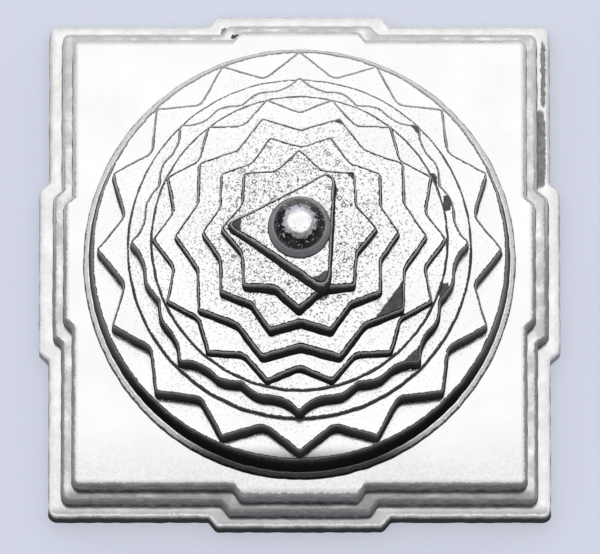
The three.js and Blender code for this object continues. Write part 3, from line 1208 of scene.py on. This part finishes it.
def dark_reflection_colour(sheet):
    """The colour of the painted dark reflection: near black, smoky, paler on the far side, with painted
    glints.
    """
    speck = sheet.noise(DARK_REFLECTION_SIZE * 0.7, 1.0).rise(*GLINT_RANGE)
    smoke = sheet.noise(DARK_REFLECTION_SIZE * 2, 4.0).rise(*SMOKE_RANGE)
    painted_dark = sheet.blend(smoke, REFLECTION_BLACK, SMOKE_GREY)
    far_side = sheet.along(90).rise(*FAR_SIDE)
    painted_dark = sheet.blend(far_side * (smoke * FAR_SMOKE + FAR_LEAST), painted_dark, FAR_REFLECTION_GREY)
    return sheet.blend(speck, painted_dark, GLINT_GREY)


def smooth_metal(name, level, metallic, roughness, dents, outlined=False, dark_reflection=None):
    """Metal of one grey level. Its painted dark reflection is whole below the first height, gone above the
    next.
    """
    material = bpy.data.materials.new(name)
    sheet = Sheet(material)
    clouds = sheet.noise(SOFT_CLOUD_SIZE)
    dent = sheet.noise(DENT_SIZE, 1.0).rise(*DENT_RANGE)
    colour = sheet.blend(clouds.rise(*CLOUD_RANGE), grey(level * CLOUD_SHADE), grey(level))
    colour = sheet.blend(dent * dents, colour, grey(level * DENT_SHADE))
    height = clouds * CLOUD_HEIGHT + dent * dents
    gloss = GLOSS
    if outlined:
        colour = outline_collar(sheet, colour, level)
    # a painted dark reflection covers the lower dome, which turns dull there
    if dark_reflection:
        whole, gone = dark_reflection
        patches = (sheet.noise(DARK_REFLECTION_SIZE, 4.0) - 0.5) * DARK_REFLECTION_SPREAD
        painted_dark = (sheet.height() + patches).rise(gone, whole)
        colour = sheet.blend(painted_dark, colour, dark_reflection_colour(sheet))
        metallic = 1 - painted_dark
        gloss = DARK_REFLECTION_GLOSS
    surface = {
        "Base Color": colour,
        "Metallic": metallic,
        "Roughness": clouds * CLOUD_ROUGHNESS + roughness,
        "Normal": sheet.node("ShaderNodeBump", None, {**SMOOTH_BUMP, "Height": height}),
        "Specular IOR Level": gloss,
    }
    sheet.show(surface)
    return material


# %% [markdown]
# The bindu is the point at the middle of the yantra. Its collar is a cone that is cast up like a plate.
# The dome is raised from a circle, ring by ring, along a quarter of an ellipse.

# %% Collar and bindu
COLLAR_TOP = 2.63 * MM
COLLAR_EDGE = 0.08 * MM
COLLAR_LINE = 0.02 * MM
DOME_STEPS = 24
DOME_LIP = 0.3 * MM


def bindu_collar(node, material):
    low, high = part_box(node)
    collar = filled_circle(node + "_cast", CIRCLE_CORNERS, high.x, low.z)
    cast_up(collar, high.z, high.x - COLLAR_TOP - COLLAR_EDGE, COLLAR_EDGE, COLLAR_LINE)
    settle(collar, TOP_SHIFT)
    dress(collar, node, material)


def bindu_dome(node, material):
    low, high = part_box(node)
    dome = filled_circle(node + "_cast", CIRCLE_CORNERS, high.x, low.z)
    choose(dome, "FACE", lambda face: True)
    bpy.ops.mesh.inset(thickness=TINY, depth=DOME_LIP)
    round_over(high.x, high.z - low.z - DOME_LIP, DOME_STEPS, DOME_STEPS - 1)
    close_underside()
    settle(dome, TOP_SHIFT)
    dress(dome, node, material)


collar_silver = smooth_metal(
    "collar_silver", level=0.24, metallic=0.3, roughness=0.45, dents=0.1, outlined=True
)
bindu_collar("bindu_collar", collar_silver)
dome_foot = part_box("bindu")[0].z
dark_reflection_heights = (dome_foot + 1.75 * MM, dome_foot + 2.10 * MM)
dome_mirror = smooth_metal(
    "bindu_mirror", level=0.92, metallic=1.0, roughness=0.05, dents=0.35, dark_reflection=dark_reflection_heights
)
bindu_dome("bindu", dome_mirror)

# %% [markdown]
# The screw and the pin keep their solids. They only need plain steel, dulled a little by handling.

# %% Screw and pin
steel = smooth_metal("plain_steel", level=0.5, metallic=1.0, roughness=0.35, dents=0.2)
for node in ("tie_screw", "dowel_pin"):
    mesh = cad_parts[node].data
    mesh.materials.clear()
    mesh.materials.append(steel)

# %% [markdown]
# The yantra stands on a pale floor. Part of the floor's brightness is its own, but only where the camera,
# metal or glass shows it, so that the shadow on it stays as faint as in the photograph and no extra light
# falls on the object.

# %% Floor
FLOOR_COLOUR = (0.66, 0.69, 0.80, 1)
FLOOR_SIZE = 8
FLOOR_DROP = 0.02 * MM
FLOOR_LIGHT = 0.97
FLOOR_GLOW = 0.6
LOOKING_RAYS = ("Is Camera Ray", "Is Glossy Ray", "Is Transmission Ray")


def looked_at(sheet):
    """1 where the camera, metal or glass shows a thing, and 0 where it only sheds light."""
    camera_ray, glossy_ray, transmission_ray = [
        sheet.node("ShaderNodeLightPath", output=ray) for ray in LOOKING_RAYS
    ]
    return camera_ray.above(glossy_ray).above(transmission_ray)


bpy.ops.mesh.primitive_plane_add(size=FLOOR_SIZE, location=(0, 0, -FLOOR_DROP))
floor = start("floor")
floor_material = bpy.data.materials.new("pale_floor")
floor_sheet = Sheet(floor_material)
floor_surface = {"Base Color": FLOOR_COLOUR, "Roughness": 0.9, "Specular IOR Level": 0.1}
floor_shader = floor_sheet.node("ShaderNodeBsdfPrincipled", None, floor_surface)
floor_light = floor_sheet.node(
    "ShaderNodeEmission", None, {"Color": FLOOR_COLOUR, "Strength": FLOOR_LIGHT}
)
floor_share = looked_at(floor_sheet) * FLOOR_GLOW
floor_mix = floor_sheet.node(
    "ShaderNodeMixShader", None, {0: floor_share, 1: floor_shader, 2: floor_light}
)
floor_sheet.node("ShaderNodeOutputMaterial", None, {"Surface": floor_mix})
floor.data.materials.append(floor_material)
print("floor", FLOOR_SIZE, "m wide")

# %% [markdown]
# Metal shows its surroundings. The light is a wide soft patch above, tilted a little to the far side,
# with a weak glow beyond the yantra. The flat faces mirror the patch, the dome shows it as a white spot,
# and the walls stay dark, because their oxide mirrors nothing. A smaller and weaker patch on the left
# gives the dome its second reflection. The camera, metal and glass see the patch just white, and near the
# horizon they see the floor's colour. The floor and the dull walls get the stronger light under which a
# colour looks as written, with some more of it from the back and the sides.

# %% Light
PATCH_LEVELS = [
    (0.50, 0.03),
    (0.64, 0.16),
    (0.70, 0.35),
    (0.76, 1.05),
    (0.86, 1.13),
    (1.00, 1.16),
]
PATCH_MIDDLE = (0, math.sin(TILT), math.cos(TILT))
FAR_RISE = (0.0, 0.9)
FAR_GLOW = 0.25
SIDE_RISE = (-0.6, 0.1)
SIDE_GLOW = 0.35
FRONT_GLOW = 0.1
LEFT_TILT = math.radians(48)
LEFT_MIDDLE = (-math.sin(LEFT_TILT), 0, math.cos(LEFT_TILT))
LEFT_RIM = (0.95, 0.975)
LEFT_LEVEL = 0.5
HORIZON = (0.75, 0.55)
LIGHT_GAIN = 0.6

world = bpy.data.worlds.new("sky")
bpy.context.scene.world = world
sky = Sheet(world, "Generated")
patch = sky.ramp(PATCH_LEVELS, sky.lean(PATCH_MIDDLE))
far_glow = sky.along(90).rise(*FAR_RISE) * FAR_GLOW
left_patch = sky.lean(LEFT_MIDDLE).rise(*LEFT_RIM) * LEFT_LEVEL
shown = looked_at(sky)
side_glow = (sky.along(90).rise(*SIDE_RISE) * SIDE_GLOW).above(FRONT_GLOW) * (1 - shown)
light = patch.above(far_glow).above(side_glow).above(left_patch)
near_horizon = sky.height().rise(*HORIZON) * shown
backdrop = {
    "Color": sky.blend(near_horizon, light, FLOOR_COLOUR),
    "Strength": (1 - shown) * LIGHT_GAIN + 1,
}
background = sky.node("ShaderNodeBackground", None, backdrop)
sky.node("ShaderNodeOutputWorld", None, {"Surface": background})
print("light from", len(sky.tree.nodes), "nodes")
